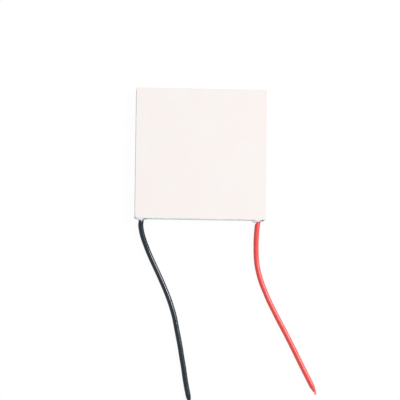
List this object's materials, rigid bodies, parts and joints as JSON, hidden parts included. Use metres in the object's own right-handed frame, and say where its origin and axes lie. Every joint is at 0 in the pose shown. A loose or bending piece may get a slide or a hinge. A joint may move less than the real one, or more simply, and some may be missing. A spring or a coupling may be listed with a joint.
{
  "type": "thermoelectric cooling module",
  "caption": "Flat square heat pump: white ceramic plates over a grid of semiconductor pellets, sealed round the rim, with a black and a red wire lead at one edge.",
  "frame": {"origin": "centre of the hot plate's outer face, which the module lies on", "axes": "+Z from the hot face to the cold face; the leads leave the front edge towards -Y, black at -X and red at +X"},
  "size_m": [0.056, 0.0966, 0.0038],
  "materials": {
    "ceramic_plate": "matte",
    "copper_tab": "satin",
    "n_pellet": "satin",
    "p_pellet": "satin",
    "solder": "satin",
    "sealant": "satin",
    "black_insulation": "gloss",
    "red_insulation": "gloss",
    "copper_strand": "satin"
  },
  "bodies": {
    "root": {"hot_plate": "ceramic_plate", "cold_plate": "ceramic_plate", "hot_tabs": "copper_tab", "black_terminal_tab": "copper_tab", "red_terminal_tab": "copper_tab", "cold_tabs": "copper_tab", "cold_turn_tabs": "copper_tab", "hot_solder_pads": "solder", "cold_solder_pads": "solder", "n_pellets_column_01": "n_pellet", "n_pellets_column_02": "n_pellet", "n_pellets_column_03": "n_pellet", "n_pellets_column_04": "n_pellet", "n_pellets_column_05": "n_pellet", "n_pellets_column_06": "n_pellet", "n_pellets_column_07": "n_pellet", "n_pellets_column_08": "n_pellet", "n_pellets_column_09": "n_pellet", "n_pellets_column_10": "n_pellet", "n_pellets_column_11": "n_pellet", "n_pellets_column_12": "n_pellet", "n_pellets_column_13": "n_pellet", "n_pellets_column_14": "n_pellet", "n_pellets_column_15": "n_pellet", "n_pellets_column_16": "n_pellet", "p_pellets_column_01": "p_pellet", "p_pellets_column_02": "p_pellet", "p_pellets_column_03": "p_pellet", "p_pellets_column_04": "p_pellet", "p_pellets_column_05": "p_pellet", "p_pellets_column_06": "p_pellet", "p_pellets_column_07": "p_pellet", "p_pellets_column_08": "p_pellet", "p_pellets_column_09": "p_pellet", "p_pellets_column_10": "p_pellet", "p_pellets_column_11": "p_pellet", "p_pellets_column_12": "p_pellet", "p_pellets_column_13": "p_pellet", "p_pellets_column_14": "p_pellet", "p_pellets_column_15": "p_pellet", "p_pellets_column_16": "p_pellet", "perimeter_sealant": "sealant", "black_lead_jacket": "black_insulation", "black_lead_conductor": "copper_strand", "black_terminal_joint": "solder", "red_lead_jacket": "red_insulation", "red_lead_conductor": "copper_strand", "red_terminal_joint": "solder"}
  },
  "joints": []
}
